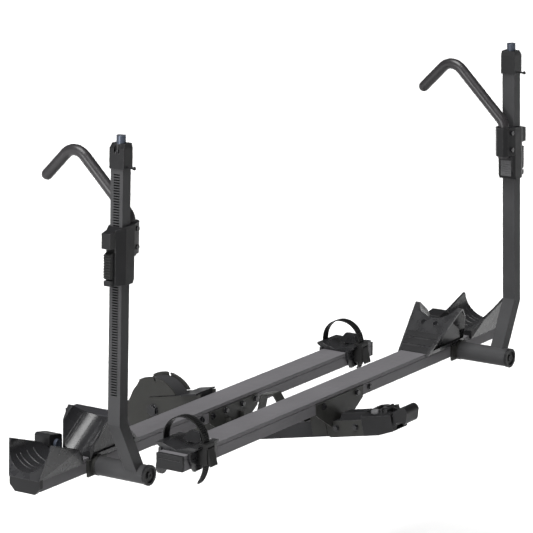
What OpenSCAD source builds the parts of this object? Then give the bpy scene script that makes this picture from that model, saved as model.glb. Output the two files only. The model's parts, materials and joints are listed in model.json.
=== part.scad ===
// Hitch mounted bike rack for two bikes, in use position.
// Frame: origin at the centre of the hitch pin hole, +X along the trays, +Y towards the vehicle, +Z up.
// Each tray has its own frame: u outward towards the wheel holder, v across the tray, w above the tray.

/* [Hitch] */
// Side of the square tube that fits the receiver
stinger_side = 50.8; // [50:0.2:51]
// Radius of the hitch pin hole
pin_hole_r = 8.1; // [8:0.1:8.4]
// Distance from the hitch pin to the inner end of the tube
stinger_tail = 75; // [65:1:90]

/* [Pivot] */
// Distance from the hitch pin to the main pivot
pivot_out = 227; // [220:1:240]
// Height of the main pivot above the hitch pin
pivot_up = 70.5; // [68:0.5:73]
// Radius of the swing plates around the main pivot
swing_r = 90; // [88:0.5:92]
// Slope of the spine in use, in degrees
spine_angle = 11.5; // [11:0.1:12]

/* [Trays] */
// Width of a tray beam
tray_w = 76.2; // [75:0.1:77]
// Height of a tray beam
tray_h = 38.1; // [37.5:0.1:38.5]
// Distance between the two trays
tray_spacing = 330; // [325:1:335]
// How much higher the outer tray sits
tray_rise = 73.5; // [72:0.5:75]
// Length of a beam from the middle to the wheel holder end
holder_reach = 828; // [815:1:835]
// Length of a beam from the middle to the strap end
strap_reach = 692; // [690:1:700]

/* [Arms] */
// Distance from the middle to an arm's hinge
hinge_u = 605; // [600:1:610]
// Outside radius of an arm's hinge sleeve
sleeve_r = 24.5; // [24:0.1:25]
// Height of the top of an upright above its tray
upright_top = 785; // [775:1:790]
// Inward lean of an upright, in degrees
arm_lean = 2.3; // [2:0.1:2.5]
// Distance between the ratchet slots
slot_pitch = 6.5; // [6.3:0.1:6.8]
// Diameter of a hook's tube
hook_d = 28.6; // [28:0.1:29]

/* [Rear wheel straps] */
// Place of the inner tray's strap cradle, from the middle
strap_a_x = 604; // [600:1:610]
// Place of the outer tray's strap cradle, from the middle
strap_b_x = -630; // [-640:1:-620]
// Width of a strap
strap_w = 25; // [22:1:26]
// Outside radius of a strap's loop
loop_r = 60; // [58:0.5:62]

/* [Hidden] */
$fn = 64;

steel = [0.27, 0.27, 0.29];
light_steel = [0.5, 0.5, 0.51];
plastic = [0.11, 0.11, 0.12];
olive = [0.28, 0.28, 0.26];
zinc = [0.55, 0.58, 0.66];

far = 400;

// Places
pivot_y = -pivot_out;
pivot_z = pivot_up;
tray_a_y = -423.1;
tray_a_z = 130;
tray_b_y = tray_a_y - tray_spacing;
tray_b_z = tray_a_z + tray_rise;
seam = 14;
seam_gap = 0.6;

// Hitch tube and head
stinger_wall = 5;
stinger_out = 185;
head_half = 29;
head_r = 82;
head_foot = 31;
pivot_r = 9;

// Spine, in its own frame at the pivot with -Y running outward
spine_half = 30;
spine_low = -94;
spine_high = -54;
spine_wall = 4;
spine_in = -100;
spine_out = -655;
bulkhead = -278.2;
plate_t = 6;
side_bolts = [-575, -634];
plate_top = 34.5;
slit_top = 37;
rod_z = -74;
rod_r = 4;
loop_y = -363.5;
loop_high = 22;
loop_half = 20.5;
loop_width = 36;
loop_t = 4;
loop_splay = 0.45;
bar_y = -49;
bar_r = 6;
handle_y = -742;
handle_z = -50;
handle_pin_r = 3;

// Beams and brackets
beam_wall = 2.5;
sheet = 3;
bracket_half = 112;
flange_drop = 11;
bolt_r = 4;
head_bolt_r = 7;
bolt_drop = 22;

// Wheel holder, in the tray frame
ramp_foot = 430;
ramp_u = 567;
ramp_w = 103;
foot_half = 46;
horn_half = 73;
tip_u = 631;
ramp_slope = atan((ramp_w + 4) / (ramp_u - ramp_foot));
ramp_along = 112;
ramp_seat = 1.6;
ramp_head_r = 7.4;
ramp_screw_r = 3.2;
trough_u = 552;
trough_foot = 74;
trough_tip = 20;
trough_r = 62;

// Arms, in the tray frame
hinge_w = -25;
arm_v = -162;
tube_u = 32;
tube_v = 36;
tube_wall = 2.6;
upright_u = 684;
bend_w = 119;
sleeve_in = -52;
sleeve_out = -195;
spindle_r = 15;
slot_low = 190;
slot_high = 733;
slot_w = 18;
slot_h = 3.5;
cap_low = 745;
cap_high = 807;
lock_r = 11.5;
key_reach = 18;
slider_low = 466;
slider_high = 612;
boss_low = 535;
nose_low = 557;
lip_high = 479;
slider_bolt_x = -38;
slider_bolt_z = [552, 597];
slider_seat = -23;
lever_pin_x = 27;
lever_pin_z = 549;
lever_pin_r = 2;
hook_u = 619;
hook_turn = 621.2;
hook_peak = 782.7;
hook_end_v = 87;
hook_bend_r = 40;
bolt_m = 3.5;

module at_spine() {
    translate([0, pivot_y, pivot_z])
        rotate([-spine_angle, 0, 0])
            children();
}

module at_tray_a() {
    translate([0, tray_a_y, tray_a_z])
        mirror([1, 0, 0])
            children();
}

module at_tray_b() {
    translate([0, tray_b_y, tray_b_z])
        children();
}

module at_strap_a() {
    translate([strap_a_x, tray_a_y, tray_a_z])
        children();
}

module at_strap_b() {
    translate([strap_b_x, tray_b_y, tray_b_z])
        children();
}

// Upright frame: +Z up the leaning tube, +X outward
module at_upright() {
    translate([upright_u, arm_v, 0])
        rotate([0, -arm_lean, 0])
            children();
}

// A box given by its two corners
module block(low, high) {
    translate(low)
        cube(high - low);
}

// A shape drawn in the YZ plane, given its span along X
module slab_x(x0, x1) {
    translate([x0, 0, 0])
        rotate([90, 0, 90])
            linear_extrude(x1 - x0)
                children();
}

// A shape drawn in the XZ plane, given its span along Y
module slab_y(y0, y1) {
    translate([0, y1, 0])
        rotate([90, 0, 0])
            linear_extrude(y1 - y0)
                children();
}

// A round bar along X or Y
module bar_x(x0, x1, r) {
    translate([x0, 0, 0])
        rotate([0, 90, 0])
            cylinder(h = x1 - x0, r = r);
}

module bar_y(y0, y1, r) {
    translate([0, y1, 0])
        rotate([90, 0, 0])
            cylinder(h = y1 - y0, r = r);
}

// ---- Hitch tube, head and main pivot

module stinger() {
    color(steel)
        difference() {
            block([-stinger_side / 2, -stinger_out, -stinger_side / 2],
                [stinger_side / 2, stinger_tail, stinger_side / 2]);
            block([-stinger_side / 2 + stinger_wall, -stinger_out - 1, -stinger_side / 2 + stinger_wall],
                [stinger_side / 2 - stinger_wall, stinger_tail + 1, stinger_side / 2 - stinger_wall]);
            bar_x(-stinger_side, stinger_side, pin_hole_r);
        }
}

module head_outline() {
    translate([pivot_y, pivot_z])
        circle(r = head_r, $fn = 96);
    polygon([[-120, -head_foot], [-120, head_foot], [-165, 70], [-230, 70], [-240, 0], [-225, -head_foot]]);
}

module pivot_head() {
    color(light_steel)
        difference() {
            slab_x(-head_half, head_half) head_outline();
            // Socket for the hitch tube
            block([-stinger_side / 2, -stinger_out, -stinger_side / 2],
                [stinger_side / 2, -100, stinger_side / 2]);
            // Bore of the main pivot
            translate([0, pivot_y, pivot_z])
                bar_x(-far, far, pivot_r + 0.05);
            // Rim notches for the latch bar: tilted down, in use, folded up
            for (tilt = [-28, 0, 78])
                translate([0, pivot_y, pivot_z])
                    rotate([-spine_angle - tilt, 0, 0])
                        translate([0, -38, rod_z])
                            bar_x(-far, far, bar_r + 0.5);
            // Pockets that lighten the casting
            for (side = [-1, 1])
                translate([side * (head_half + 1), pivot_y, pivot_z])
                    for (turn = [70 : 40 : 150])
                        rotate([turn - 40, 0, 0])
                            translate([0, 0, 52])
                                bar_x(-9, 9, 13);
        }
}

module pivot_bolt() {
    color(zinc)
        translate([0, pivot_y, pivot_z]) {
            bar_x(-spine_half - plate_t - 2, spine_half + plate_t + 14, pivot_r);
            translate([-spine_half - plate_t - 10, 0, 0])
                rotate([0, 90, 0])
                    cylinder(h = 8, r = 15, $fn = 6);
            translate([-spine_half - plate_t - 2, 0, 0])
                difference() {
                    bar_x(0, 2, 17);
                    bar_x(-1, 3, pivot_r);
                }
            translate([spine_half + plate_t, 0, 0])
                difference() {
                    rotate([0, 90, 0])
                        cylinder(h = 12, r = 15, $fn = 6);
                    bar_x(-1, 13, pivot_r);
                }
        }
}

module thrust_washers() {
    color(plastic)
        for (side = [-1, 1])
            translate([side * (head_half + 0.6), pivot_y, pivot_z])
                difference() {
                    bar_x(-0.4, 0.4, 25);
                    bar_x(-1, 1, pivot_r + 0.3);
                }
}

// ---- Spine

module swing_outline() {
    difference() {
        union() {
            circle(r = swing_r, $fn = 96);
            polygon([[0, spine_low], [0, plate_top], [-246, plate_top], [-246, spine_low]]);
            polygon([[0, spine_low], [62, spine_low], [swing_r, -20], [0, 0]]);
        }
        // Straight back edge
        polygon([[29, 82], [78, 29], [130, 29], [130, 130], [29, 130]]);
        // Slit under the rim
        translate([-130, plate_top])
            square([133, slit_top - plate_top]);
        translate([-246, slit_top])
            square([120, 60]);
        // Notch in the rim
        translate([-28, 80])
            square([8, 20]);
        translate([-24, 80])
            circle(r = 4.5, $fn = 32);
        // Slot of the latch bar
        hull() {
            translate([bar_y, rod_z]) circle(r = bar_r + 0.4, $fn = 32);
            translate([bar_y - 9, rod_z]) circle(r = bar_r + 0.4, $fn = 32);
        }
        circle(r = pivot_r + 0.05, $fn = 64);
    }
}

module swing_plate() {
    difference() {
        at_spine()
            slab_x(spine_half, spine_half + plate_t)
                swing_outline();
        // Seat of the inner tray's bracket
        block([-far, tray_a_y - tray_w / 2 - 40, tray_a_z - tray_h - sheet],
            [far, tray_a_y + tray_w / 2 + sheet, far]);
    }
}

module swing_plate_right() {
    color(olive) swing_plate();
}

module swing_plate_left() {
    color(olive) mirror([1, 0, 0]) swing_plate();
}

module spine_tube() {
    color(steel)
        at_spine()
            difference() {
                block([-spine_half, spine_out, spine_low], [spine_half, spine_in, spine_high]);
                block([-spine_half + spine_wall, spine_out - 1, spine_low + spine_wall],
                    [spine_half - spine_wall, bulkhead - 4, spine_high - spine_wall]);
                block([-spine_half + spine_wall, bulkhead, spine_low + spine_wall],
                    [spine_half - spine_wall, spine_in - spine_wall, spine_high - spine_wall]);
                // Way of the pull rod
                translate([0, 0, rod_z])
                    bar_y(bulkhead - 10, spine_in + 1, rod_r + 0.5);
                // Holes of the side plate bolts
                for (y = side_bolts)
                    translate([0, y, -72])
                        bar_x(-far, far, bolt_r + 0.1);
            }
}

// Closed box between the swing plates behind the inner tray
module spine_web() {
    color(light_steel)
        difference() {
            at_spine() {
                block([-spine_half, -156, spine_high], [spine_half, -99, plate_top]);
                block([-45, -156, plate_top], [45, -106, plate_top + 4]);
            }
            at_spine()
                block([-spine_half + 6, -150, spine_high - 1], [spine_half - 6, -105, plate_top - 5]);
            block([-far, tray_a_y - far, 0], [far, tray_a_y + tray_w / 2 + sheet, far]);
        }
}

module side_plate() {
    at_spine()
        difference() {
            slab_x(spine_half, spine_half + 5)
                polygon([[-546, spine_high], [-546, -88], [-552, spine_low - 2], [-654.8, spine_low - 2],
                    [-654.8, spine_high]]);
            for (y = side_bolts)
                translate([0, y, -72])
                    bar_x(-far, far, bolt_r + 0.1);
        }
}

module side_plates() {
    color(olive) {
        side_plate();
        mirror([1, 0, 0]) side_plate();
    }
}

module hood_outline(inset) {
    polygon([[-35 + inset, spine_high], [-22 + inset, -37 - inset], [22 - inset, -37 - inset],
        [35 - inset, spine_high]]);
}

module spine_hood() {
    color(plastic)
        at_spine()
            difference() {
                slab_y(-654.8, -590) hood_outline(0);
                slab_y(-656, -589) hood_outline(3);
            }
}

module housing_outline() {
    polygon([[-655, spine_low - 2], [-700, spine_low - 2], [-745, -88], [-745, -44], [-722, -34], [-700, -30],
        [-680, -30], [-655, -38]]);
}

module release_housing() {
    color(plastic)
        at_spine()
            difference() {
                slab_x(-36, 36) housing_outline();
                // Chamfered shoulders
                for (side = [-1, 1])
                    translate([side * 36, 0, spine_high + 8])
                        rotate([0, side * 38, 0])
                            block([-14, -760, 0], [14, -650, 40]);
                // Cavity for the rod and the handle's tail
                block([-16, -746, -84], [16, -654, -56]);
                block([-16, -746, -86], [16, -724, -20]);
                // Recess in the top
                block([-20, -716, -36], [20, -690, -20]);
                translate([0, handle_y, handle_z])
                    bar_x(-30, 30, handle_pin_r);
            }
}

module handle_pin() {
    color(zinc)
        at_spine()
            translate([0, handle_y, handle_z])
                bar_x(-30, 30, handle_pin_r);
}

// Grip that is lifted to release the tilt latch
module tilt_handle() {
    color(plastic)
        at_spine()
            difference() {
                union() {
                    slab_x(-30, 30)
                        difference() {
                            hull() {
                                translate([-755, -47]) circle(r = 6, $fn = 32);
                                translate([-777, -43]) circle(r = 14, $fn = 32);
                                translate([-772, -61]) circle(r = 13, $fn = 32);
                                translate([-756, -66]) circle(r = 9, $fn = 32);
                            }
                            // Finger hollow
                            hull() {
                                translate([-761, -74]) circle(r = 7.5, $fn = 32);
                                translate([-770, -75]) circle(r = 7.5, $fn = 32);
                                translate([-763, -92]) circle(r = 7.5, $fn = 32);
                            }
                        }
                    // Tail inside the housing
                    slab_x(-15, 15)
                        polygon([[-760, -42], [-737, -42], [-735, -78], [-740, -80], [-741, -58], [-760, -58]]);
                }
                translate([0, handle_y, handle_z])
                    bar_x(-31, 31, handle_pin_r + 0.05);
                // Slot for the rod's end
                block([-rod_r - 0.5, -745, -82], [rod_r + 0.5, -734, -67]);
            }
}

module pull_rod() {
    color(zinc)
        at_spine()
            translate([0, 0, rod_z]) {
                bar_y(-744, bar_y - bar_r, rod_r);
                translate([0, -744, 0]) bar_x(-12, 12, 2.5);
                translate([0, -200, 0]) bar_y(-4, 0, 8);
            }
}

module latch_bar() {
    color(zinc)
        at_spine()
            translate([0, bar_y, rod_z])
                bar_x(-spine_half - plate_t - 5, spine_half + plate_t + 5, bar_r);
}

// Coil spring around the rod, drawn at its compressed length
spring_turns = 7;
spring_r = 7;
spring_wire = 1.1;
spring_len = 60;
spring_steps = 16;
spring_sides = 6;

function spring_point(i, j) =
    let (a = 360 * i / spring_steps, b = 360 * j / spring_sides, r = spring_r + spring_wire * cos(b))
        [r * cos(a), spring_len * i / (spring_turns * spring_steps) + spring_wire * sin(b), r * sin(a)];

module latch_spring() {
    rings = spring_turns * spring_steps;
    color(light_steel)
        at_spine()
            translate([0, -276, rod_z])
                polyhedron(
                    points = [for (i = [0 : rings]) for (j = [0 : spring_sides - 1]) spring_point(i, j)],
                    faces = concat(
                        [for (i = [0 : rings - 1]) for (j = [0 : spring_sides - 1])
                            [i * spring_sides + j, i * spring_sides + (j + 1) % spring_sides,
                                (i + 1) * spring_sides + (j + 1) % spring_sides, (i + 1) * spring_sides + j]],
                        [[for (j = [spring_sides - 1 : -1 : 0]) j]],
                        [[for (j = [0 : spring_sides - 1]) rings * spring_sides + j]]));
}

// ---- Tray brackets

// Channel and gusset plates that carry one tray on the spine
module bracket(y, z, bolts, clear) {
    low = z - tray_h - sheet;
    difference() {
        union() {
            block([-bracket_half, y - tray_w / 2 - sheet, low], [bracket_half, y + tray_w / 2 + sheet, low + sheet]);
            for (v = [y - tray_w / 2 - sheet, y + tray_w / 2])
                slab_y(v, v + sheet)
                    polygon([[-bracket_half, z - flange_drop], [-bracket_half, low], [-42, low - 44],
                        [42, low - 44], [bracket_half, low], [bracket_half, z - flange_drop]]);
        }
        // Room for the spine
        at_spine()
            block([-clear, -far * 3, -far], [clear, far, spine_high]);
        for (x = bolts)
            translate([x, 0, z - bolt_drop])
                bar_y(y - far, y, bolt_r + 0.1);
    }
}

inner_bolts = [-100, -39, 39, 100];
outer_bolts = [-80, 80];

module tray_bracket_inner() {
    color(steel)
        difference() {
            bracket(tray_a_y, tray_a_z, inner_bolts, spine_half + 3);
            // Slits in the gussets for the swing plates
            for (side = [-1, 1])
                translate([side * (spine_half + plate_t / 2), tray_a_y, tray_a_z - tray_h - sheet - 50])
                    cube([plate_t, tray_w + 20, 100], center = true);
            // The swing plates' web stands behind the tray
            block([-46, tray_a_y + tray_w / 2, tray_a_z - tray_h], [46, tray_a_y + far, far]);
        }
}

module tray_bracket_outer() {
    color(steel)
        union() {
            bracket(tray_b_y, tray_b_z, outer_bolts, spine_half + plate_t);
            // Webs down the sides of the spine
            difference() {
                at_spine()
                    for (side = [-1, 1])
                        translate([side * (spine_half + 2.5), 0, 0])
                            block([-2.5, -544, -88], [2.5, -500, 40]);
                block([-far, tray_b_y - far, tray_b_z - tray_h - sheet + 1], [far, tray_b_y + far, far * 2]);
            }
        }
}

// Side view of the arch: a flat top between two splayed legs
module loop_side(high, half) {
    run = (high - spine_high + 1) * loop_splay;
    polygon([[-half - run, spine_high - 1], [-half - 1, high - 2.4], [-half + 1.6, high], [half - 1.6, high],
        [half + 1, high - 2.4], [half + run, spine_high - 1]]);
}

// Bent strip on the spine that a security cable passes through
module cable_loop() {
    color(light_steel)
        at_spine()
            slab_x(-loop_width / 2, loop_width / 2)
                translate([loop_y, 0])
                    difference() {
                        loop_side(loop_high, loop_half);
                        loop_side(loop_high - loop_t, loop_half - loop_t + 1.5);
                        translate([-far, spine_high - far])
                            square([far * 2, far]);
                    }
}

// One flanged bolt, head towards -Y, its neck running to +Y
module bolt_y(neck) {
    bar_y(0, neck, bolt_r);
    bar_y(-1.6, 0, head_bolt_r + 2);
    translate([0, -1.6, 0])
        rotate([90, 0, 0])
            cylinder(h = 5, r = head_bolt_r, $fn = 6);
}

module frame_bolts() {
    color(zinc) {
        for (x = inner_bolts)
            translate([x, tray_a_y - tray_w / 2 - sheet, tray_a_z - bolt_drop])
                bolt_y(sheet + beam_wall + 3);
        for (x = outer_bolts)
            translate([x, tray_b_y - tray_w / 2 - sheet, tray_b_z - bolt_drop])
                bolt_y(sheet + beam_wall + 3);
        translate([146, tray_b_y - tray_w / 2, tray_b_z - bolt_drop])
            bolt_y(beam_wall + 3);
        translate([-146, tray_a_y - tray_w / 2, tray_a_z - bolt_drop])
            bolt_y(beam_wall + 3);
        for (side = [-1, 1])
            for (y = side_bolts)
                at_spine()
                    translate([side * (spine_half + 5), y, -72])
                        rotate([0, 0, side * 90])
                            bolt_y(5 + spine_wall - 1);
    }
}

// ---- Beams

module beam_outline() {
    difference() {
        square([tray_w, tray_h], center = true);
        square([tray_w - 2 * beam_wall, tray_h - 2 * beam_wall], center = true);
        // Groove along each side
        for (side = [-1, 1])
            translate([side * tray_w / 2, tray_h / 2 - 10])
                square([2.4, 2.4], center = true);
    }
}

module beam(x0, x1, y, z, bolts) {
    difference() {
        translate([0, y, z - tray_h / 2])
            slab_x(x0, x1) beam_outline();
        for (x = bolts)
            translate([x, y - tray_w / 2 - 1, z - bolt_drop])
                bar_y(0, 10, bolt_r + 0.1);
    }
}

module beam_a_left() {
    color(light_steel)
        beam(-holder_reach, -seam - seam_gap / 2, tray_a_y, tray_a_z, [inner_bolts[0], inner_bolts[1], -146]);
}

module beam_a_right() {
    color(light_steel)
        beam(-seam + seam_gap / 2, strap_reach, tray_a_y, tray_a_z, [inner_bolts[2], inner_bolts[3]]);
}

module beam_b_left() {
    color(light_steel)
        beam(-strap_reach, seam - seam_gap / 2, tray_b_y, tray_b_z, [outer_bolts[0]]);
}

module beam_b_right() {
    color(light_steel)
        beam(seam + seam_gap / 2, holder_reach, tray_b_y, tray_b_z, [outer_bolts[1], 146]);
}

module splice(y, z, bolts) {
    half_w = tray_w / 2 - beam_wall - 0.1;
    half_h = tray_h / 2 - beam_wall - 0.1;
    difference() {
        translate([0, y, z - tray_h / 2])
            difference() {
                block([-170, -half_w, -half_h], [170, half_w, half_h]);
                block([-171, -half_w + 3, -half_h + 3], [171, half_w - 3, half_h - 3]);
            }
        for (x = bolts)
            translate([x, y - tray_w / 2, z - bolt_drop])
                bar_y(0, 12, bolt_r + 0.1);
    }
}

module beam_splices() {
    color(steel) {
        splice(tray_a_y, tray_a_z, concat(inner_bolts, [-146]));
        splice(tray_b_y, tray_b_z, concat(outer_bolts, [146]));
    }
}

module strap_end_cap() {
    half_w = tray_w / 2 - beam_wall - 0.1;
    half_h = tray_h / 2 - beam_wall - 0.1;
    translate([strap_reach, 0, -tray_h / 2])
        difference() {
            union() {
                block([0, -tray_w / 2, -tray_h / 2], [9, tray_w / 2, tray_h / 2]);
                block([-18, -half_w, -half_h], [0, half_w, half_h]);
            }
            block([-19, -half_w + 4, -half_h + 4], [-1, half_w - 4, half_h - 4]);
            block([7, -30, 6], [10, 30, 9]);
        }
}

module strap_end_caps() {
    color(olive) {
        at_tray_b() mirror([1, 0, 0]) strap_end_cap();
        at_tray_a() mirror([1, 0, 0]) strap_end_cap();
    }
}

module holder_end_cap() {
    half_w = tray_w / 2 - beam_wall - 0.1;
    half_h = tray_h / 2 - beam_wall - 0.1;
    translate([holder_reach, 0, -tray_h / 2]) {
        slab_x(0, 13)
            polygon([[-foot_half, 14], [-foot_half, -8], [-30, -24], [30, -24], [foot_half, -8], [foot_half, 14]]);
        difference() {
            block([-18, -half_w, -half_h], [0, half_w, half_h]);
            block([-19, -half_w + 4, -half_h + 4], [-1, half_w - 4, half_h - 4]);
        }
    }
}

module holder_end_caps() {
    color(plastic) {
        at_tray_a() holder_end_cap();
        at_tray_b() holder_end_cap();
    }
}

// ---- Wheel holder: inner ramp and outer cradle

// A thin strip across the tray, the corner of a lofted shell
module strip(u, w, half) {
    translate([u - 1.5, -half, w])
        cube([3, 2 * half, 1]);
}

// Room of the beam under a holder piece
module beam_room() {
    block([0, -tray_w / 2, -far], [holder_reach, tray_w / 2, 0]);
}

module trough(u0, w0, u1, w1, r) {
    slope = atan2(w1 - w0, u1 - u0);
    translate([u0, 0, w0])
        rotate([0, 90 - slope, 0])
            translate([0, 0, -200])
                cylinder(h = 500, r = r, $fn = 64);
}

// Room behind the trough, between the sloping back and the tip
module ramp_room(v0, v1, foot) {
    difference() {
        slab_y(v0, v1)
            polygon([[ramp_foot + 22, foot], [ramp_u - 5, ramp_w - 10], [ramp_u + 8, ramp_w - 9], [tip_u - 10, 56],
                [tip_u - 8, foot]]);
        trough(trough_u, trough_foot + trough_r, tip_u, trough_tip + trough_r, trough_r + 5);
    }
}

module wheel_ramp() {
    wall = 4;
    difference() {
        hull() {
            strip(ramp_foot, -5, foot_half);
            strip(ramp_u, ramp_w - 1, horn_half);
            strip(603, trough_foot, trough_r);
            strip(tip_u, 17, 42);
            strip(tip_u - 2, -5, foot_half - 4);
        }
        trough(trough_u, trough_foot + trough_r, tip_u, trough_tip + trough_r, trough_r);
        // Hollow open towards the beam, and a pocket in each side
        ramp_room(-tray_w / 2 + 2, tray_w / 2 - 2, -1);
        ramp_room(tray_w / 2 + wall - 2, far, 6);
        ramp_room(-far, -tray_w / 2 - wall + 2, 6);
        beam_room();
        // Room of the arm's hinge
        translate([hinge_u, 0, hinge_w])
            bar_y(-far, -tray_w / 2, sleeve_r + 3);
        // Screw holes
        at_ramp_screws() {
            translate([0, 0, -20])
                cylinder(h = 20, r = ramp_screw_r);
            translate([0, 0, -ramp_seat])
                cylinder(h = 10, r = ramp_head_r);
        }
    }
}

module wheel_ramp_a() {
    color(plastic) at_tray_a() wheel_ramp();
}

module wheel_ramp_b() {
    color(plastic) at_tray_b() wheel_ramp();
}

module outer_cradle() {
    difference() {
        cradle_hull();
        translate([0, 0, 8 + trough_r - 2])
            bar_x(600, 900, trough_r - 2);
        difference() {
            slab_y(-tray_w / 2 + 2, tray_w / 2 - 2)
                polygon([[680, -1], [714, 36], [800, 66], [826, -1]]);
            translate([0, 0, 8 + trough_r - 2])
                bar_x(600, 900, trough_r + 3);
        }
        beam_room();
        block([holder_reach, -foot_half - 1, -far], [holder_reach + 13, foot_half + 1, -tray_h / 2 + 14]);
    }
}

module outer_cradle_a() {
    color(plastic) at_tray_a() outer_cradle();
}

module outer_cradle_b() {
    color(plastic) at_tray_b() outer_cradle();
}

// Hull of the outer cradle before it is hollowed
module cradle_hull() {
    hull() {
        strip(706, 42, 65);
        strip(813, 78, 66);
        strip(842, -7, foot_half);
        strip(668, -7, foot_half);
        strip(668, 14, foot_half);
    }
}

// Housing of the cable lock, on the vehicle side of the holder
module lock_block() {
    difference() {
        slab_y(tray_w / 2 + 2, tray_w / 2 + 48)
            hull() {
                translate([637, -12]) square([52, 10]);
                translate([644, 44]) circle(r = 7, $fn = 32);
                translate([681, 50]) circle(r = 8, $fn = 32);
            }
        cradle_hull();
        translate([core_u, 0, core_w])
            bar_y(0, tray_w / 2 + 20, core_r + 0.05);
    }
}

module lock_blocks() {
    color(plastic) {
        at_tray_a() lock_block();
        at_tray_b() lock_block();
    }
}

core_u = 662;
core_w = 31;
core_r = 11.5;

module lock_core() {
    translate([core_u, 0, core_w])
        difference() {
            bar_y(tray_w / 2 - 6, tray_w / 2 + 19.7, core_r);
            block([-1.2, tray_w / 2 - 7, -6], [1.2, tray_w / 2 + 4, 6]);
        }
}

module lock_core_a() {
    color(zinc) at_tray_a() lock_core();
}

module lock_core_b() {
    color(zinc) at_tray_b() lock_core();
}

module ramp_screws() {
    color(zinc) {
        at_tray_a() at_ramp_screws() ramp_screw();
        at_tray_b() at_ramp_screws() ramp_screw();
    }
}

module ramp_screw() {
    translate([0, 0, -ramp_seat])
        cylinder(h = ramp_seat + 0.8, r = ramp_head_r - 0.4);
    translate([0, 0, -14])
        cylinder(h = 14 - ramp_seat + 0.1, r = ramp_screw_r);
}

// The two screw places in the sloping back of a ramp, outward normal along Z
module at_ramp_screws() {
    for (v = [-19, 19])
        translate([ramp_foot - 1.5 + ramp_along * cos(ramp_slope), v, ramp_along * sin(ramp_slope) - 4])
            rotate([0, -ramp_slope, 0])
                children();
}

// ---- Arms

module spindle() {
    translate([hinge_u, 0, hinge_w]) {
        bar_y(sleeve_out - 0.3, -tray_w / 2, spindle_r);
        bar_y(sleeve_in + 0.3, -tray_w / 2, sleeve_r + 1.5);
    }
    block([hinge_u - 38, -tray_w / 2 - 6, -tray_h - 10], [hinge_u + 38, -tray_w / 2, -6]);
}

module spindle_a() {
    color(steel) at_tray_a() spindle();
}

module spindle_b() {
    color(steel) at_tray_b() spindle();
}

module spindle_cap() {
    translate([hinge_u, 0, hinge_w])
        difference() {
            bar_y(sleeve_out - 9, sleeve_out - 0.3, sleeve_r + 1.5);
            // Ring shaped recess in the end face
            difference() {
                bar_y(sleeve_out - 10, sleeve_out - 5, sleeve_r - 5);
                bar_y(sleeve_out - 11, sleeve_out - 4, 9);
            }
            bar_y(sleeve_out - 10, sleeve_out - 7, 4);
        }
}

module spindle_caps() {
    color(plastic) {
        at_tray_a() spindle_cap();
        at_tray_b() spindle_cap();
    }
}

// A square bar along the bent arm, thinner on every side by skin
module arm_bar(skin) {
    bend_u = upright_u - bend_w * tan(arm_lean);
    lower_turn = atan2(bend_u - hinge_u, bend_w - hinge_w);
    lower_len = norm([bend_u - hinge_u, bend_w - hinge_w]);
    half_u = tube_u / 2 - skin;
    half_v = tube_v / 2 - skin;
    at_upright()
        block([-half_u, -half_v, bend_w / cos(arm_lean)], [half_u, half_v, upright_top]);
    translate([bend_u, arm_v, bend_w])
        bar_y(-half_v, half_v, half_u);
    translate([hinge_u, arm_v, hinge_w])
        rotate([0, lower_turn, 0])
            block([-half_u, -half_v, 0], [half_u, half_v, lower_len]);
}

module arm() {
    slots = floor((slot_high - slot_low) / slot_pitch);
    difference() {
        union() {
            arm_bar(0);
            translate([hinge_u, 0, hinge_w])
                bar_y(sleeve_out, sleeve_in, sleeve_r);
        }
        difference() {
            arm_bar(tube_wall);
            translate([hinge_u, 0, hinge_w])
                bar_y(sleeve_out - 1, sleeve_in + 1, sleeve_r);
        }
        at_upright()
            block([-tube_u / 2 + tube_wall, -tube_v / 2 + tube_wall, upright_top - 5],
                [tube_u / 2 - tube_wall, tube_v / 2 - tube_wall, upright_top + 5]);
        translate([hinge_u, 0, hinge_w])
            bar_y(sleeve_out - 1, sleeve_in + 1, spindle_r + 0.05);
        // Ratchet slots in the outer face
        at_upright()
            for (i = [0 : slots])
                translate([tube_u / 2 - tube_wall - 1, -slot_w / 2, slot_low + i * slot_pitch])
                    cube([tube_wall + 2, slot_w, slot_h]);
    }
}

module arm_a() {
    color(light_steel) at_tray_a() arm();
}

module arm_b() {
    color(light_steel) at_tray_b() arm();
}

module arm_cap() {
    at_upright()
        difference() {
            union() {
                block([-tube_u / 2 - 2.5, -tube_v / 2 - 3, cap_low], [tube_u / 2 + 2.5, tube_v / 2 + 3, cap_high - 12]);
                hull() {
                    block([-tube_u / 2 - 2.5, -tube_v / 2 - 3, cap_high - 13],
                        [tube_u / 2 + 2.5, tube_v / 2 + 3, cap_high - 12]);
                    block([-tube_u / 2 - 1, -tube_v / 2 - 1, cap_high - 1], [tube_u / 2 - 6, tube_v / 2 + 1, cap_high]);
                }
                // Stop pin with a ball end
                translate([0, 0, cap_low + 4]) {
                    bar_y(-tube_v / 2 - 20, -tube_v / 2, 2.6);
                    translate([0, -tube_v / 2 - 21, 0]) sphere(r = 4.6);
                }
            }
            block([-tube_u / 2, -tube_v / 2, cap_low - 8], [tube_u / 2, tube_v / 2, upright_top]);
            cylinder(h = 900, r = lock_r + 0.05);
            // Recess and screw seat in the outer face
            translate([tube_u / 2 - 4, -8, cap_high - 24])
                cube([10, 16, 30]);
        }
}

module arm_cap_a() {
    color(plastic) at_tray_a() arm_cap();
}

module arm_cap_b() {
    color(plastic) at_tray_b() arm_cap();
}

module arm_lock() {
    at_upright()
        difference() {
            translate([0, 0, upright_top + 0.4])
                cylinder(h = cap_high + key_reach - upright_top, r = lock_r);
            translate([-1.5, -7, cap_high + key_reach - 4])
                cube([3, 14, 10]);
        }
}

module arm_lock_a() {
    color(zinc) at_tray_a() arm_lock();
}

module arm_lock_b() {
    color(zinc) at_tray_b() arm_lock();
}

// ---- Hook and its slider

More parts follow.
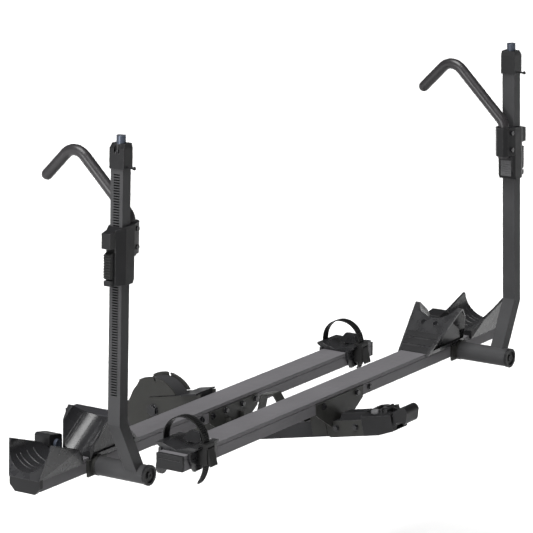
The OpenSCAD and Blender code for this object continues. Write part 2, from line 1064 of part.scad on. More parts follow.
// Bent tube: up, over towards the vehicle at 45 degrees, and down again.
// The bends are a touch slimmer and each leg reaches into them.
module hook_tube(r) {
    turn_r = 35;
    turn_leg = turn_r * tan(22.5);
    long_leg = -arm_v * sqrt(2) - turn_leg - hook_bend_r;
    end_leg = hook_end_v * sqrt(2) - hook_bend_r;
    reach = 0.6;
    bend = r - 0.15;
    translate([hook_u, arm_v, slider_low + 60])
        cylinder(h = hook_turn - slider_low - 60 - turn_leg + reach, r = r);
    translate([hook_u, arm_v + turn_r, hook_turn - turn_leg])
        rotate([0, -90, 0])
            rotate([0, 0, -90])
                rotate_extrude(angle = 45)
                    translate([turn_r, 0]) circle(r = bend, $fn = 32);
    translate([hook_u, arm_v + turn_leg * sin(45), hook_turn + turn_leg * cos(45)])
        rotate([-45, 0, 0])
            translate([0, 0, -reach])
                cylinder(h = long_leg + 2 * reach, r = r);
    translate([hook_u, 0, hook_peak - hook_bend_r * sqrt(2)])
        rotate([0, -90, 0])
            rotate([0, 0, -45])
                rotate_extrude(angle = 90)
                    translate([hook_bend_r, 0]) circle(r = bend, $fn = 32);
    translate([hook_u, hook_bend_r * sin(45), hook_peak - hook_bend_r * sin(45)])
        rotate([-135, 0, 0]) {
            translate([0, 0, -reach])
                cylinder(h = end_leg + reach, r = r);
            translate([0, 0, end_leg - 1]) sphere(r = bend);
        }
}

module hook_a() {
    color(steel) at_tray_a() hook_tube(hook_d / 2);
}

module hook_b() {
    color(steel) at_hook_b() hook_tube(hook_d / 2);
}

// Outlines of the slider from above: the body, and the boss around the hook
module slider_body_plan() {
    polygon([[36, -13.7], [36, 13.7], [10, 26], [-24, 26], [-32, 20], [-32, -20], [-24, -26], [10, -26]]);
}

module slider_boss_plan() {
    polygon([[10, -26], [10, 26], [-24, 26], [-40, 22.5], [-52, 19], [-63, 9], [-63, -9], [-52, -19], [-40, -22.5],
        [-24, -26]]);
}

// Side view of the space the slider fills, with its sloping top
module slider_side() {
    polygon([[-70, slider_low + 30], [-32, slider_low + 27], [-tube_u / 2 - 3, slider_low],
        [60, slider_low], [60, slider_high - 18], [16, slider_high - 6],
        [-52, slider_high + 1], [-70, slider_high + 1]]);
}

module slider() {
    difference() {
        at_upright()
            union() {
                intersection() {
                    union() {
                        translate([0, 0, slider_low])
                            linear_extrude(slider_high + 5 - slider_low)
                                slider_body_plan();
                        translate([0, 0, boss_low])
                            linear_extrude(slider_high + 5 - boss_low)
                                slider_boss_plan();
                        // Nose above the lever
                        block([20, -12.6, nose_low], [57, 12.6, slider_high]);
                    }
                    slab_y(-30, 30) slider_side();
                }
                // Lip under the lever
                block([20, -10, slider_low], [50, 10, lip_high]);
            }
        at_upright() {
            // Passage of the upright
            block([-tube_u / 2 - 0.4, -tube_v / 2 - 0.4, 0], [tube_u / 2 + 0.4, tube_v / 2 + 0.4, 1000]);
            // Hollow of the lever
            block([tube_u / 2 - 1, -10.2, lip_high], [38, 10.2, nose_low]);
            // Shallow panel in the inner face
            block([-40, -17, 474], [-30, 17, 521]);
            // Holes and seats of the bolts
            for (z = slider_bolt_z)
                translate([slider_bolt_x, 0, z]) {
                    bar_y(-30, -10, bolt_m);
                    bar_y(-30, slider_seat, 6.6);
                }
        }
        // Bore of the hook
        translate([hook_u, arm_v, slider_low + 60])
            cylinder(h = 200, r = hook_d / 2 + 0.05);
    }
    // Pin of the release lever
    at_upright()
        translate([lever_pin_x, 0, lever_pin_z])
            bar_y(-11, 11, lever_pin_r);
}

module slider_a() {
    color(plastic) at_tray_a() slider();
}

// The outer tray's hook sits one ratchet slot lower
module at_hook_b() {
    at_tray_b()
        translate([slot_pitch * sin(arm_lean), 0, -slot_pitch * cos(arm_lean)])
            children();
}

module slider_b() {
    color(plastic) at_hook_b() slider();
}

module slider_bolts() {
    at_upright()
        for (z = slider_bolt_z)
            translate([slider_bolt_x, 0, z]) {
                bar_y(slider_seat, -14.5, bolt_m);
                bar_y(slider_seat - 3.5, slider_seat, 6);
            }
}

module slider_bolts_a() {
    color(zinc) at_tray_a() slider_bolts();
}

module slider_bolts_b() {
    color(zinc) at_hook_b() slider_bolts();
}

// Ribbed lever that frees the pawl
module release_lever() {
    at_upright()
        slab_y(-9.8, 9.8)
            difference() {
                polygon([[20, 547], [23, 554], [31, 554], [37, 548], [46, 545], [52.5, 541], [52.5, 488], [48, 482],
                    [34, 481], [27, 486], [19.5, 500], [19.5, 512], [26, 520], [21, 545]]);
                translate([lever_pin_x, lever_pin_z])
                    circle(r = lever_pin_r + 0.05);
                // Grip ribs
                for (i = [0 : 7])
                    translate([52.5, 490 + i * 6.8])
                        circle(r = 2.2, $fn = 24);
            }
}

module release_lever_a() {
    color(plastic) at_tray_a() release_lever();
}

module release_lever_b() {
    color(plastic) at_hook_b() release_lever();
}

// ---- Rear wheel strap

cradle_half = 58;

module cradle_plan() {
    // V shaped seat across the tray
    polygon([[-cradle_half, 17], [-cradle_half, 12], [-tray_w / 2 - 1, 0], [tray_w / 2 + 1, 0], [cradle_half, 12],
        [cradle_half, 17], [40, 17], [0, 5], [-40, 17]]);
}

module strap_cradle() {
    difference() {
        union() {
            slab_x(-44, 55) cradle_plan();
            // Hump that stops the tyre
            hull() {
                block([22, -30, 8], [50, 30, 9]);
                block([34, -14, 32], [44, 14, 33]);
            }
            // Skirts down the sides of the beam
            for (side = [-1, 1])
                translate([0, side * (tray_w / 2 + 4.7), 0])
                    slab_y(-4, 4)
                        polygon([[-50, 6], [62, 6], [62, -40], [-30, -46], [-50, -14]]);
            // Rounded lug that hangs below the beam
            translate([0, tray_w / 2 + 4.7, 0])
                slab_y(-4, 4)
                    translate([-41, -40]) circle(r = 21, $fn = 48);
            // Seat of the strap
            block([-strap_w / 2 - 4, 42, -10], [strap_w / 2 + 4, 66, 12]);
        }
        // Room of the beam
        block([-100, -tray_w / 2 - 0.4, -60], [100, tray_w / 2 + 0.4, 0.4]);
        // Slot of the strap and room of the ratchet
        block([-strap_w / 2 - 0.3, loop_r - 3.2, -20], [strap_w / 2 + 0.3, loop_r + 0.2, 20]);
        block([-17.2, -80, -40], [17.2, -tray_w / 2 - 8.8, 30]);
    }
}

module strap_cradle_a() {
    color(plastic) at_strap_a() strap_cradle();
}

module strap_cradle_b() {
    color(plastic) at_strap_b() strap_cradle();
}

strap_t = 3;
loop_w = 21;
tail_w = -31;
tail_turn = 25;

module strap_outline(tail) {
    translate([0, loop_w])
        difference() {
            circle(r = loop_r, $fn = 96);
            circle(r = loop_r - strap_t, $fn = 96);
            translate([-100, -200]) square([200, 200]);
        }
    translate([loop_r - strap_t, -8]) square([strap_t, loop_w + 8]);
    translate([-loop_r, tail_w - 1]) square([strap_t, loop_w - tail_w + 1]);
    // Tail below the ratchet
    translate([-loop_r, tail_w])
        rotate(tail_turn)
            translate([0, -tail])
                square([strap_t, tail]);
}

module wheel_strap(tail) {
    slab_x(-strap_w / 2, strap_w / 2) strap_outline(tail);
}

module wheel_strap_a() {
    color(plastic) at_strap_a() wheel_strap(23);
}

module wheel_strap_b() {
    color(plastic) at_strap_b() wheel_strap(55);
}

// Ratchet body on the outer side of the cradle
module buckle() {
    difference() {
        block([-17, -72, -30], [17, -tray_w / 2 - 8.9, 22]);
        block([-strap_w / 2 - 0.3, -loop_r - 0.3, -40], [strap_w / 2 + 0.3, -loop_r + strap_t + 0.3, 40]);
        block([-14, -80, -40], [14, -loop_r + 1, 14]);
        translate([0, -67, 8])
            bar_x(-30, 30, 2.5);
    }
    translate([0, -67, 8])
        bar_x(-17, 17, 2.5);
}

module buckle_a() {
    color(plastic) at_strap_a() buckle();
}

module buckle_b() {
    color(plastic) at_strap_b() buckle();
}

module buckle_lever() {
    difference() {
        slab_x(-13.5, 13.5)
            hull() {
                translate([-67, 8]) circle(r = 5.5, $fn = 32);
                translate([-74, -18]) circle(r = 4, $fn = 32);
                translate([-80, -30]) circle(r = 3, $fn = 32);
            }
        translate([0, -67, 8])
            bar_x(-30, 30, 2.55);
        block([-20, -loop_r - 1, -60], [20, 0, 60]);
    }
}

module buckle_lever_a() {
    color(plastic) at_strap_a() buckle_lever();
}

module buckle_lever_b() {
    color(plastic) at_strap_b() buckle_lever();
}

stinger();
pivot_head();
pivot_bolt();
thrust_washers();
swing_plate_left();
swing_plate_right();
spine_tube();
spine_web();
side_plates();
spine_hood();
release_housing();
handle_pin();
tilt_handle();
pull_rod();
latch_bar();
latch_spring();
tray_bracket_inner();
tray_bracket_outer();
cable_loop();
frame_bolts();
beam_a_left();
beam_a_right();
beam_b_left();
beam_b_right();
beam_splices();
strap_end_caps();
holder_end_caps();
wheel_ramp_a();
wheel_ramp_b();
outer_cradle_a();
outer_cradle_b();
lock_blocks();
lock_core_a();
lock_core_b();
ramp_screws();
spindle_a();
spindle_b();
spindle_caps();
arm_a();
arm_b();
arm_cap_a();
arm_cap_b();
arm_lock_a();
arm_lock_b();
slider_a();
slider_b();
hook_a();
hook_b();
slider_bolts_a();
slider_bolts_b();
release_lever_a();
release_lever_b();
strap_cradle_a();
strap_cradle_b();
wheel_strap_a();
wheel_strap_b();
buckle_a();
buckle_b();
buckle_lever_a();
buckle_lever_b();
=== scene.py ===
import math
import json
import bpy
import bmesh
from mathutils import Vector, Matrix


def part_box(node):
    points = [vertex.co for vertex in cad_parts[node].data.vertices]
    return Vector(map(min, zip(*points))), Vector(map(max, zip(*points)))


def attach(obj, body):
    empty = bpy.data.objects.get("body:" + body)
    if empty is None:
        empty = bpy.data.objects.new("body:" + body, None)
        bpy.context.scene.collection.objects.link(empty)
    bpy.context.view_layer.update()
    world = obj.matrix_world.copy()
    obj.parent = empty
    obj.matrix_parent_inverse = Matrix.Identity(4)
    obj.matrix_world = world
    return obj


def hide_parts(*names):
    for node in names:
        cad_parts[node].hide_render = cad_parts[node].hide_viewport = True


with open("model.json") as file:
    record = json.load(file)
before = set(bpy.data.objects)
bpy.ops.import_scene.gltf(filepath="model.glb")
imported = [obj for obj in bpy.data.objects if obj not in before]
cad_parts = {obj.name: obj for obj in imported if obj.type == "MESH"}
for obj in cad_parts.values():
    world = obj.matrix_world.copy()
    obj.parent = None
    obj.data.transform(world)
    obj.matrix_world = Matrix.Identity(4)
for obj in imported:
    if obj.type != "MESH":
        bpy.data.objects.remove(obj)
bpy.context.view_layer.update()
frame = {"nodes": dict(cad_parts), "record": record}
nodes = frame["nodes"]
scene = bpy.context.scene

# ---- Camera: long lens, seen from the outer left corner, a little above
CAM_POS = Vector((-6.368, -4.796, 2.326))
YAW = math.radians(33.59)
PITCH = math.radians(13.42)
cam_data = bpy.data.cameras.new("camera")
cam_data.lens = 205.3
cam_data.sensor_width = 36
cam_data.clip_end = 60
cam = bpy.data.objects.new("camera", cam_data)
scene.collection.objects.link(cam)
look = Vector((math.cos(YAW) * math.cos(PITCH), math.sin(YAW) * math.cos(PITCH), -math.sin(PITCH)))
cam.location = CAM_POS
cam.rotation_euler = look.to_track_quat("-Z", "Y").to_euler()
scene.camera = cam


# ---- Materials
class Mat:
    """A node material with colour variation, a painted highlight along the edges and fine bump."""

    def __init__(self, name, color, rough=0.5, metallic=0.0, specular=0.1):
        self.m = bpy.data.materials.new(name)
        self.m.use_nodes = True
        self.nt = self.m.node_tree
        self.nt.nodes.clear()
        self.out = self.nt.nodes.new("ShaderNodeOutputMaterial")
        self.bsdf = self.nt.nodes.new("ShaderNodeBsdfPrincipled")
        self.nt.links.new(self.bsdf.outputs["BSDF"], self.out.inputs["Surface"])
        self.bsdf.inputs["Metallic"].default_value = metallic
        self.bsdf.inputs["Specular IOR Level"].default_value = specular
        self.coord = self.nt.nodes.new("ShaderNodeTexCoord")
        self.color = color
        self.rough = rough

    def node(self, kind, **inputs):
        n = self.nt.nodes.new(kind)
        for key, value in inputs.items():
            n.inputs[key.replace("_", " ")].default_value = value
        return n

    def link(self, a, b):
        self.nt.links.new(a, b)

    def noise(self, scale, detail=3.0, stretch=None):
        n = self.node("ShaderNodeTexNoise", Scale=scale, Detail=detail)
        if stretch:
            mp = self.node("ShaderNodeMapping")
            mp.inputs["Scale"].default_value = stretch
            self.link(self.coord.outputs["Object"], mp.inputs["Vector"])
            self.link(mp.outputs["Vector"], n.inputs["Vector"])
        else:
            self.link(self.coord.outputs["Object"], n.inputs["Vector"])
        return n.outputs["Fac"]

    def ramp(self, fac, a, b, lo=0.3, hi=0.7):
        r = self.nt.nodes.new("ShaderNodeMapRange")
        r.inputs["From Min"].default_value = lo
        r.inputs["From Max"].default_value = hi
        r.inputs["To Min"].default_value = a
        r.inputs["To Max"].default_value = b
        self.link(fac, r.inputs["Value"])
        return r.outputs["Result"]

    def mix(self, fac, a, b):
        n = self.nt.nodes.new("ShaderNodeMix")
        n.data_type = "RGBA"
        for sock, val in ((6, a), (7, b)):
            if isinstance(val, tuple):
                n.inputs[sock].default_value = (*val, 1)
            else:
                self.link(val, n.inputs[sock])
        self.link(fac, n.inputs[0])
        return n.outputs[2]

    def finish(self, vary=0.12, patch=9.0, grain=900.0, grain_depth=0.02, rough_vary=0.06, edge_highlight=0.35,
               edge_highlight_color=None, bevel=0.0012, stretch=None, streak=0.0):
        c = self.color
        dark = tuple(x * (1 - vary) for x in c)
        light = tuple(min(1.0, x * (1 + vary)) for x in c)
        big = self.noise(patch, 4.0)
        color = self.mix(self.ramp(big, 0, 1), dark, light)
        fine = self.noise(grain, 2.0, stretch)
        if streak:
            lines = self.noise(60.0, 6.0, stretch)
            color = self.mix(self.ramp(lines, 0, streak), color, tuple(min(1, x * 1.5) for x in c))
        rnd = self.nt.nodes.new("ShaderNodeBevel")
        rnd.samples = 4
        rnd.inputs["Radius"].default_value = bevel
        geo = self.nt.nodes.new("ShaderNodeNewGeometry")
        dot = self.nt.nodes.new("ShaderNodeVectorMath")
        dot.operation = "DOT_PRODUCT"
        self.link(rnd.outputs["Normal"], dot.inputs[0])
        self.link(geo.outputs["Normal"], dot.inputs[1])
        # Painted highlight: edges found from the bevel normal get a lighter colour, broken up by noise spots.
        edge = self.ramp(dot.outputs["Value"], 1.0, 0.0, 0.86, 0.995)
        spots = self.ramp(self.noise(130.0, 5.0), 0.15, 1.0, 0.35, 0.62)
        mul = self.nt.nodes.new("ShaderNodeMath")
        mul.operation = "MULTIPLY"
        self.link(edge, mul.inputs[0])
        self.link(spots, mul.inputs[1])
        amount = self.ramp(mul.outputs[0], 0.0, edge_highlight, 0.0, 1.0)
        highlight_color = edge_highlight_color or tuple(min(1.0, x * 3.0 + 0.06) for x in c)
        color = self.mix(amount, color, highlight_color)
        self.link(color, self.bsdf.inputs["Base Color"])
        self.link(self.ramp(self.noise(patch * 4, 5.0), self.rough - rough_vary, self.rough + rough_vary),
                  self.bsdf.inputs["Roughness"])
        bump = self.nt.nodes.new("ShaderNodeBump")
        bump.inputs["Strength"].default_value = 0.35
        bump.inputs["Distance"].default_value = grain_depth / 1000
        self.link(fine, bump.inputs["Height"])
        self.link(rnd.outputs["Normal"], bump.inputs["Normal"])
        self.link(bump.outputs["Normal"], self.bsdf.inputs["Normal"])
        return self.m


# finish() paints a lighter highlight colour along each material's edges; the edge settings below set its
# strength and colour.
M = {
    "stinger_paint": Mat("stinger_paint", (0.016, 0.016, 0.018), 0.36).finish(grain=700, grain_depth=0.05),
    "cast_head": Mat("cast_head", (0.024, 0.024, 0.025), 0.42, 0.1).finish(
        grain=420, grain_depth=0.09, vary=0.2),
    "zinc_bolt": Mat("zinc_bolt", (0.006, 0.006, 0.007), 0.2, 0.4, 0.5).finish(
        grain=300, grain_depth=0.02, vary=0.25),
    "washer_plastic": Mat("washer_plastic", (0.015, 0.015, 0.015), 0.5).finish(),
    "plate_paint": Mat("plate_paint", (0.019, 0.019, 0.0178), 0.36).finish(grain=600, grain_depth=0.05),
    "spine_paint": Mat("spine_paint", (0.012, 0.012, 0.013), 0.36).finish(grain=600, grain_depth=0.05),
    "housing_plastic": Mat("housing_plastic", (0.0065, 0.0065, 0.007), 0.42, 0.0, 0.14).finish(
        grain=1400, grain_depth=0.04, vary=0.2, edge_highlight=0.22, edge_highlight_color=(0.2, 0.2, 0.205), bevel=0.002),
    "tray_aluminium": Mat("tray_aluminium", (0.074, 0.072, 0.076), 0.5, 0.0, 0.08).finish(
        grain=1500, grain_depth=0.02, stretch=(0.02, 1, 1), streak=0.2, vary=0.06),
    "wheel_plastic": Mat("wheel_plastic", (0.010, 0.010, 0.0108), 0.28, 0.0, 0.3).finish(
        grain=500, grain_depth=0.02, vary=0.2, edge_highlight=0.25, edge_highlight_color=(0.12, 0.12, 0.124)),
    "arm_paint": Mat("arm_paint", (0.030, 0.030, 0.031), 0.4, 0.0, 0.05).finish(grain=900, grain_depth=0.05),
    "hook_coat": Mat("hook_coat", (0.016, 0.015, 0.016), 0.34, 0.0, 0.25).finish(grain=900, grain_depth=0.03),
    "lock_metal": Mat("lock_metal", (0.04, 0.046, 0.06), 0.34, 0.4).finish(grain=500, grain_depth=0.02),
    "lever_plastic": Mat("lever_plastic", (0.009, 0.009, 0.009), 0.42).finish(
        grain=1200, grain_depth=0.03, edge_highlight=0.2),
    "panel_plastic": Mat("panel_plastic", (0.06, 0.06, 0.062), 0.4).finish(grain=1200, grain_depth=0.03),
    "strap_rubber": Mat("strap_rubber", (0.006, 0.006, 0.006), 0.45).finish(
        grain=900, grain_depth=0.03, edge_highlight=0.15),
}

slot_of = {s["node"]: s["material_slot"] for s in frame["record"]["subparts"]}
for name, obj in nodes.items():
    obj.data.materials.clear()
    obj.data.materials.append(M[slot_of[name]])


# ---- Mesh helpers, in millimetres in a local frame that place() turns into metres
def piece(name, verts, faces, mat, body, slot, place, smooth=False, stands_for=None):
    mesh = bpy.data.meshes.new(name)
    mesh.from_pydata([place(*v) for v in verts], [], faces)
    bm = bmesh.new()
    bm.from_mesh(mesh)
    bmesh.ops.recalc_face_normals(bm, faces=bm.faces)
    for f in bm.faces:
        f.smooth = smooth
    bm.to_mesh(mesh)
    bm.free()
    mesh.materials.append(mat)
    ob = bpy.data.objects.new(name, mesh)
    scene.collection.objects.link(ob)
    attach(ob, body)
    if stands_for:
        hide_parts(stands_for)
    return ob


def loft(rings):
    """Quads between rings of equal length, with the two ends capped."""
    n = len(rings[0])
    verts = [v for ring in rings for v in ring]
    faces = []
    for i in range(len(rings) - 1):
        for j in range(n):
            k = (j + 1) % n
            faces.append((i * n + j, i * n + k, (i + 1) * n + k, (i + 1) * n + j))
    faces.append(tuple(range(n))[::-1])
    faces.append(tuple((len(rings) - 1) * n + j for j in range(n)))
    return verts, faces


def tube(points, r, sides=8):
    """Rings of a round bead along a list of points."""
    pts = [Vector(p) for p in points]
    rings = []
    side = None
    for i, q in enumerate(pts):
        d = (pts[min(i + 1, len(pts) - 1)] - pts[max(i - 1, 0)]).normalized()
        if side is None:
            side = d.orthogonal().normalized()
        side = (side - d * side.dot(d)).normalized()
        other = d.cross(side)
        rr = r * (0.35 if i in (0, len(pts) - 1) else 1.0)
        rings.append([tuple(q + rr * (side * math.cos(a) + other * math.sin(a)))
                      for a in (2 * math.pi * k / sides for k in range(sides))])
    return loft(rings)


def block(low, high, bevel=0.0):
    """A box with its edges bevelled."""
    bm = bmesh.new()
    bmesh.ops.create_cube(bm, size=1)
    for v in bm.verts:
        v.co = Vector([low[k] + (v.co[k] + 0.5) * (high[k] - low[k]) for k in range(3)])
    if bevel:
        bmesh.ops.bevel(bm, geom=list(bm.edges), offset=bevel, segments=2, affect="EDGES", profile=0.6)
    bm.verts.index_update()
    verts = [tuple(v.co) for v in bm.verts]
    faces = [tuple(v.index for v in f.verts) for f in bm.faces]
    bm.free()
    return verts, faces


def join(parts):
    verts, faces = [], []
    for v, f in parts:
        n = len(verts)
        verts += v
        faces += [tuple(k + n for k in face) for face in f]
    return verts, faces


def turned(part, turn, move):
    """The part rotated by a matrix and then moved."""
    v, f = part
    return [tuple(turn @ Vector(q) + Vector(move)) for q in v], f


# ---- The trays' own frames: u outward to the wheel holder, v across, w above the tray
def tray_frame(beam, sign):
    low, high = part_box(beam)
    cy, top = (low[1] + high[1]) / 2, high[2]
    return lambda u, v, w: (sign * u / 1000, cy + v / 1000, top + w / 1000)


SIDES = {"a": (tray_frame("beam_a_left", -1), -1), "b": (tray_frame("beam_b_right", 1), 1)}
LEAN = math.radians(2.3)


ARM_U, ARM_V = 684, -162


def upright(place):
    """The frame along a leaning arm: x outward, z up the tube."""
    return lambda x, v, z: place(ARM_U + x * math.cos(LEAN) - z * math.sin(LEAN), ARM_V + v,
                                 x * math.sin(LEAN) + z * math.cos(LEAN))


# ---- Ladder straps
LOOP_R, LOOP_W, LEG_LOW = 58.5, 21.0, -31.0


def strap_path(tail):
    """A short leg, the half circle over the wheel, the long leg and a tail that turns outward."""
    pts = [(LOOP_R, -8 + k * 29 / 20) for k in range(20)]
    steps = 120
    pts += [(LOOP_R * math.cos(math.pi * k / steps), LOOP_W + LOOP_R * math.sin(math.pi * k / steps))
            for k in range(steps + 1)]
    n = 34
    pts += [(-LOOP_R, LOOP_W + (LEG_LOW - LOOP_W) * k / n) for k in range(1, n + 1)]
    y, z = -LOOP_R, LEG_LOW
    n = max(12, int(tail / 1.5))
    for k in range(n):
        a = math.radians(4 + 36 * (k + 0.5) / n)
        y += math.sin(a) * tail / n
        z -= math.cos(a) * tail / n
        pts.append((y, z))
    return pts


def resample(pts, step):
    """Points at equal steps along a line."""
    out, left = [pts[0]], step
    for a, b in zip(pts, pts[1:]):
        seg = math.dist(a, b)
        done = 0.0
        while seg - done >= left:
            done += left
            t = done / seg
            out.append((a[0] + (b[0] - a[0]) * t, a[1] + (b[1] - a[1]) * t))
            left = step
        left -= seg - done
    return out


def ladder_strap(tail):
    """A band with a raised rung on three rings out of seven, and a rounded end."""
    pts = resample(strap_path(tail), 0.75)
    rings = []
    for i, q in enumerate(pts):
        a, b = pts[max(i - 1, 0)], pts[min(i + 1, len(pts) - 1)]
        d = (b[0] - a[0], b[1] - a[1])
        m = math.hypot(*d) or 1
        n = (d[1] / m, -d[0] / m)
        rung = (i % 7) in (0, 1, 2)
        h = 1.5 if rung else -0.2
        taper = 1.0
        end = len(pts) - 1 - i
        if end < 14:
            taper = 0.45 + 0.55 * math.sqrt(max(0.0, 1 - ((14 - end) / 14) ** 2))
        section = [(-12.3, -1.4), (12.3, -1.4), (12.5, 1.2), (12.0, 1.4), (9.8, 1.4), (9.2, h),
                   (-9.2, h), (-9.8, 1.4), (-12.0, 1.4), (-12.5, 1.2)]
        rings.append([(x * taper, q[0] + n[0] * o, q[1] + n[1] * o) for x, o in section])
    return loft(rings)


for key, tail in (("a", 23), ("b", 57)):
    low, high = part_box("wheel_strap_" + key)
    beam_low, beam_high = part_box("beam_" + key + "_left")
    cx, cy, top = (low[0] + high[0]) / 2, (beam_low[1] + beam_high[1]) / 2, beam_high[2]
    piece("ladder_strap_" + key, *ladder_strap(tail), M["strap_rubber"], "strap_cradle_" + key,
          "strap_rubber",
          lambda x, y, z, cx=cx, cy=cy, top=top: (cx + x / 1000, cy + y / 1000, top + z / 1000),
          stands_for="wheel_strap_" + key)

# ---- Ribs and steps of the wheel holder: the trough's axis runs from (U0, W0) to (U1, W1),
# and the sloping back rises from RAMP_FOOT
RAMP_FOOT, RAMP_RUN, RAMP_RISE, FOOT_DROP = 430, 137, 107, 4
RIB_R, RIB_AXIS = 60, 68
STEP_STARTS, STEP_LONG, STEP_HIGH = (7, 32, 57), 19, 2.4
FOOT_HALF, FLARE, ALONG_U, ALONG_W = 42, 0.155, 0.788, 0.616
RAMP_U0, RAMP_W0, RAMP_U1, RAMP_W1, TROUGH_R = 552, 136, 631, 82, 62


def ramp_line(phi):
    """A line down the trough at the angle phi from its lowest one, from the crest to the foot."""
    du, dw = RAMP_U1 - RAMP_U0, RAMP_W1 - RAMP_W0
    m = math.hypot(du, dw)
    du, dw = du / m, dw / m
    c = math.cos(phi)
    base = (RAMP_U0 + TROUGH_R * c * dw, RAMP_W0 - TROUGH_R * c * du)
    slope = RAMP_RISE / RAMP_RUN
    t0 = (base[1] + 5 - slope * (base[0] - RAMP_FOOT)) / (slope * du - dw) + 3
    t1 = (RAMP_U1 - 4 - base[0]) / du
    stops = [t0 + (t1 - t0) * k / 12 for k in range(13)]
    return [(base[0] + du * t, TROUGH_R * math.sin(phi), base[1] + dw * t) for t in stops]


for key, (place, sign) in SIDES.items():
    beads = []
    for deg in (-41, -34, -12, 12, 34, 41):
        beads.append(tube(ramp_line(math.radians(deg)), 1.1 if abs(deg) > 20 else 0.7))
    piece("ramp_beads_" + key, *join(beads), M["wheel_plastic"], "rack", "wheel_plastic", place, smooth=True)
    beads = []
    for u, r in ((738, 1.5), (764, 1.5), (790, 1.5), (806, 1.0)):
        turns = [math.radians(-60 + 5 * k) for k in range(25)]
        arc = [(u, RIB_R * math.sin(a), RIB_AXIS - RIB_R * math.cos(a)) for a in turns]
        beads.append(tube(arc, r))
    piece("cradle_ribs_" + key, *join(beads), M["wheel_plastic"], "rack", "wheel_plastic", place, smooth=True)
    # Steps on the sloping back of the ramp
    turn = Matrix.Rotation(-math.atan2(RAMP_RISE, RAMP_RUN), 3, "Y")
    steps = []
    for along in STEP_STARTS:
        half = FOOT_HALF + along * FLARE
        steps.append(turned(block((0, -half, -1.0), (STEP_LONG, half, STEP_HIGH), 0.9), turn,
                            (RAMP_FOOT + along * ALONG_U, 0, -FOOT_DROP + along * ALONG_W)))
    piece("ramp_steps_" + key, *join(steps), M["housing_plastic"], "rack", "wheel_plastic", place)

# ---- Screws in the outer faces of the arm caps
CAP_FACE, SCREW_Z, SCREW_R = 18.4, 786, 5.2
for key, (place, sign) in SIDES.items():
    up = upright(place)
    turns = [2 * math.pi * k / 24 for k in range(24)]
    profile = ((-4, 1), (0, 1), (0.8, 0.85), (0.8, 0.5), (-1, 0.45))
    disc = [[(CAP_FACE + x, SCREW_R * r * math.cos(a), SCREW_Z + SCREW_R * r * math.sin(a)) for a in turns]
            for x, r in profile]
    piece("cap_screw_" + key, *loft(disc), M["zinc_bolt"], "arm_" + key, "zinc_bolt", up)


# ---- Roller and clip on the shoulder of the release housing
PIVOT = next(j for j in frame["record"]["behaviour"]["joints"] if j["name"] == "main_tilt")["pos_m"]
TILT = math.radians(11.5)


def on_spine(x, y, z):
    return (x / 1000, PIVOT[1] + (y * math.cos(TILT) + z * math.sin(TILT)) / 1000,
            PIVOT[2] + (z * math.cos(TILT) - y * math.sin(TILT)) / 1000)


def rounded(x, z, y0, y1, r):
    """A roller with rounded ends, lying along the spine."""
    rings = []
    turns = [2 * math.pi * i / 20 for i in range(20)]
    for k in range(9):
        t = math.pi * k / 8
        y = (y0 + y1) / 2 + (y1 - y0) / 2 * math.cos(t)
        rr = r * (0.35 + 0.65 * math.sin(t) ** 0.4)
        rings.append([(x + rr * math.cos(a), y, z + rr * math.sin(a)) for a in turns])
    return loft(rings)


for side, label in ((-1, "left"), (1, "right")):
    piece("housing_roller_" + label, *rounded(side * 27, -36, -708, -686, 7.5), M["panel_plastic"], "rack",
          "housing_plastic", on_spine, smooth=True)
    x0, x1 = sorted((side * 31, side * 20))
    piece("housing_clip_" + label, *join([block((x0, -719, -44), (x1, -713, -29), 1.2),
                                          block((x0, -734, -42), (x1, -724, -31), 1.2)]),
          M["housing_plastic"], "rack", "housing_plastic", on_spine)

# ---- Ribbed panels in the inner faces of the hook sliders; the outer tray's sits one slot lower
SLOT_PITCH, RIDGE_PITCH = 6.5, 6.6
for key, (place, sign) in SIDES.items():
    up = upright(place)
    base = 0.0 if key == "a" else -SLOT_PITCH
    parts = [block((-30.8, -15.5, 476 + base), (-29.4, 15.5, 519 + base), 0.3)]
    parts += [block((-31.9, -14.0, w), (-30.4, 14.0, w + 3.4), 0.5) for w in
              (478.4 + base + RIDGE_PITCH * k for k in range(6))]
    piece("slider_panel_" + key, *join(parts), M["panel_plastic"], "slider_" + key, "housing_plastic", up)


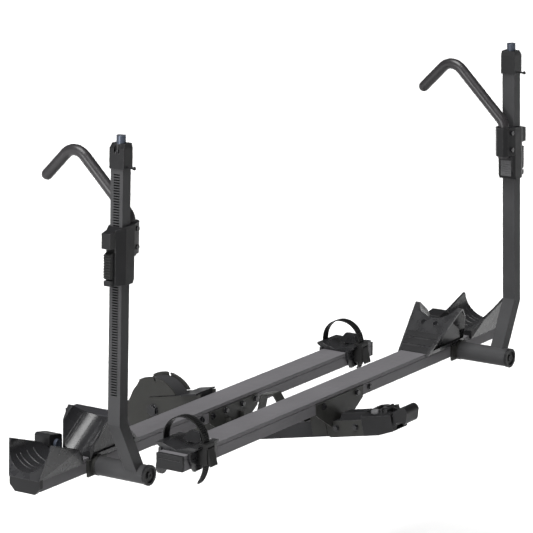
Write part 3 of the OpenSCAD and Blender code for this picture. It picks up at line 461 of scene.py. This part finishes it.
# ---- Studio
def area(name, pos, target, size, power):
    data = bpy.data.lights.new(name, "AREA")
    data.shape = "RECTANGLE"
    data.size, data.size_y = size
    data.energy = power
    ob = bpy.data.objects.new(name, data)
    scene.collection.objects.link(ob)
    ob.location = pos
    ob.rotation_euler = (Vector(target) - Vector(pos)).to_track_quat("-Z", "Y").to_euler()


FLOOR_Z = -0.42
floor_mesh = bpy.data.meshes.new("floor")
FLOOR_HALF = 80
corners = [(x * FLOOR_HALF, y * FLOOR_HALF, FLOOR_Z) for x, y in ((-1, -1), (1, -1), (1, 1), (-1, 1))]
floor_mesh.from_pydata(corners, [], [(0, 1, 2, 3)])
floor = bpy.data.objects.new("floor", floor_mesh)
scene.collection.objects.link(floor)
FLOOR_TONE = 0.64
fm = Mat("floor_paint", (FLOOR_TONE,) * 3, 0.8)
fm.link(fm.ramp(fm.noise(3.0), 0.75, 0.85), fm.bsdf.inputs["Roughness"])
tone = fm.mix(fm.noise(2.0), (FLOOR_TONE - 0.01,) * 3, (FLOOR_TONE + 0.01,) * 3)
fm.link(tone, fm.bsdf.inputs["Base Color"])
floor_mesh.materials.append(fm.m)

scene.view_settings.view_transform = "Standard"
world = bpy.data.worlds.new("studio")
scene.world = world
world.use_nodes = True
nt = world.node_tree
coord = nt.nodes.new("ShaderNodeTexCoord")
split = nt.nodes.new("ShaderNodeSeparateXYZ")
nt.links.new(coord.outputs["Generated"], split.inputs["Vector"])
level = nt.nodes.new("ShaderNodeMapRange")
level.interpolation_type = "SMOOTHSTEP"
for key, value in (("From Min", 0.02), ("From Max", 0.10), ("To Min", 1.0), ("To Max", 0.10)):
    level.inputs[key].default_value = value
nt.links.new(split.outputs["Z"], level.inputs["Value"])
nt.links.new(level.outputs["Result"], nt.nodes["Background"].inputs["Strength"])
nt.nodes["Background"].inputs["Color"].default_value = (1, 1, 1, 1)

sun = bpy.data.lights.new("overhead", "SUN")
sun.energy = 7.0
sun.angle = math.radians(42)
sun_ob = bpy.data.objects.new("overhead", sun)
scene.collection.objects.link(sun_ob)
sun_ob.rotation_euler = Vector((0.36, 0.02, -1)).to_track_quat("-Z", "Y").to_euler()
area("left", (-4.8, -0.1, 1.0), (0, -0.6, 0.4), (1.4, 1.4), 230)
